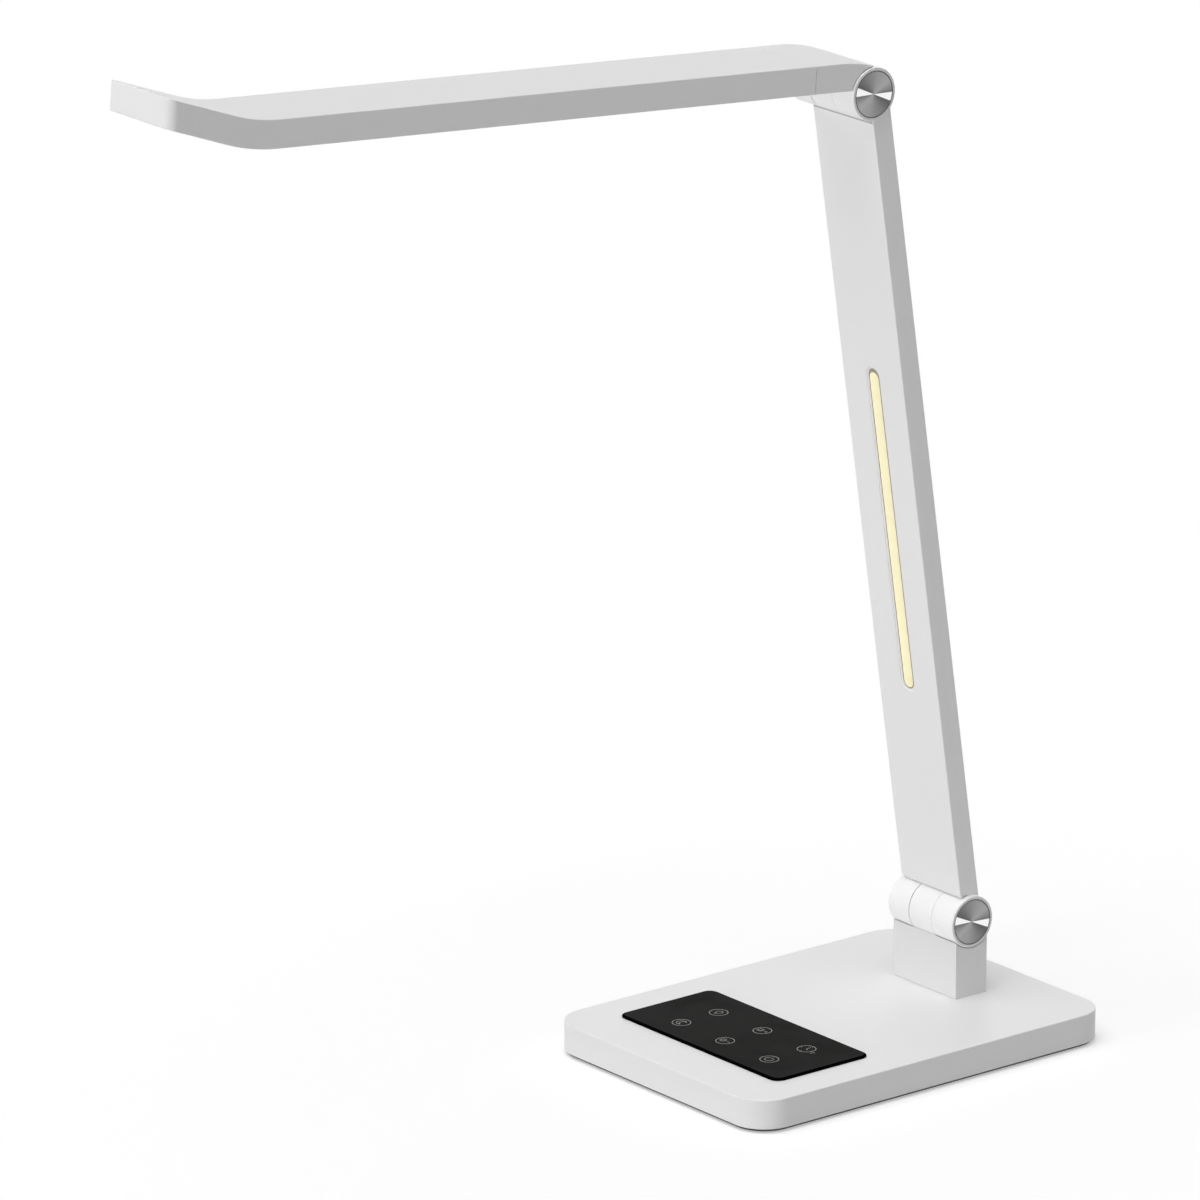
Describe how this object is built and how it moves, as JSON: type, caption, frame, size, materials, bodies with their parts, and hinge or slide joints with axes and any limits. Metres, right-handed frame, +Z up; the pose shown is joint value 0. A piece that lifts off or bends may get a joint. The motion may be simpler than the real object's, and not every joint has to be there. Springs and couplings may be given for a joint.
{
  "type": "folding led desk lamp",
  "caption": "Folding LED desk lamp: flat base with a touch panel, a hinged arm with a night light and a hinged flat head with a turned-up tip.",
  "frame": {"origin": "on the desk under the middle of the base", "axes": "+X to the lamp's left seen from its front, -Y to its front, +Z up"},
  "size_m": [0.1446, 0.4701, 0.4945],
  "materials": {
    "white_plastic": "satin white moulded ABS",
    "bezel_plastic": "matt white moulded ABS",
    "dark_plastic": "matt dark grey plastic",
    "panel_black": "smooth black touch panel with pale icons",
    "rubber": "matt black rubber",
    "steel": "zinc-plated steel",
    "spun_metal": "spun finish with circular brushing",
    "aluminium": "plain sheet",
    "circuit_green": "solder mask",
    "circuit_white": "white solder mask",
    "component_black": "electronic components",
    "wire_black": "soft insulation",
    "warm_diffuser": "translucent warm yellow",
    "opal_diffuser": "translucent opal white",
    "clear_acrylic": "clear acrylic",
    "led_yellow": "LED packages",
    "friction_lining": "friction lining"
  },
  "bodies": {
    "base": {"base_shell": "white_plastic", "base_bottom_plate": "dark_plastic", "non_slip_pad": "rubber", "base_screws": "steel", "counterweight": "steel", "touch_panel": "panel_black", "touch_board": "circuit_green", "touch_springs": "steel", "touch_board_screws": "steel", "control_board": "circuit_green", "control_components": "component_black", "control_board_screws": "steel", "dc_jack": "component_black", "base_harness": "wire_black", "pedestal": "white_plastic", "pedestal_screws": "steel", "hinge_post": "steel", "post_screws": "steel"},
    "arm": {"arm_front_shell": "white_plastic", "arm_back_shell": "white_plastic", "arm_screws": "steel", "arm_spine": "steel", "spine_screws": "steel", "arm_cable": "wire_black", "night_light_diffuser": "warm_diffuser", "night_light_board": "circuit_white", "night_light_leds": "led_yellow", "lower_fork": "steel", "lower_shaft": "steel", "lower_friction_washers": "friction_lining", "lower_spring_washers": "steel", "lower_nut": "steel", "lower_caps": "white_plastic", "lower_discs": "spun_metal", "upper_fork": "steel", "upper_shaft": "steel", "upper_friction_washers": "friction_lining", "upper_spring_washers": "steel", "upper_nut": "steel", "upper_caps": "white_plastic", "upper_discs": "spun_metal"},
    "head": {"head_hinge_cover": "white_plastic", "head_top_shell": "white_plastic", "head_bottom_bezel": "bezel_plastic", "head_diffuser": "opal_diffuser", "light_guide": "clear_acrylic", "reflector_sheet": "opal_diffuser", "heat_sink": "aluminium", "heat_sink_screws": "steel", "head_led_boards": "circuit_white", "head_leds": "led_yellow", "head_lug": "steel", "lug_screws": "steel", "head_cable": "wire_black"}
  },
  "joints": [
    {"name": "arm_fold", "type": "hinge", "parent": "base", "child": "arm", "pos_m": [0, 0.0628, 0.0497], "axis": [1, 0, 0], "range_deg": [-38.5, 81.5]},
    {"name": "head_fold", "type": "hinge", "parent": "arm", "child": "head", "pos_m": [0, 0.00274, 0.43545], "axis": [1, 0, 0], "range_deg": [-76.7, 103.3]}
  ]
}
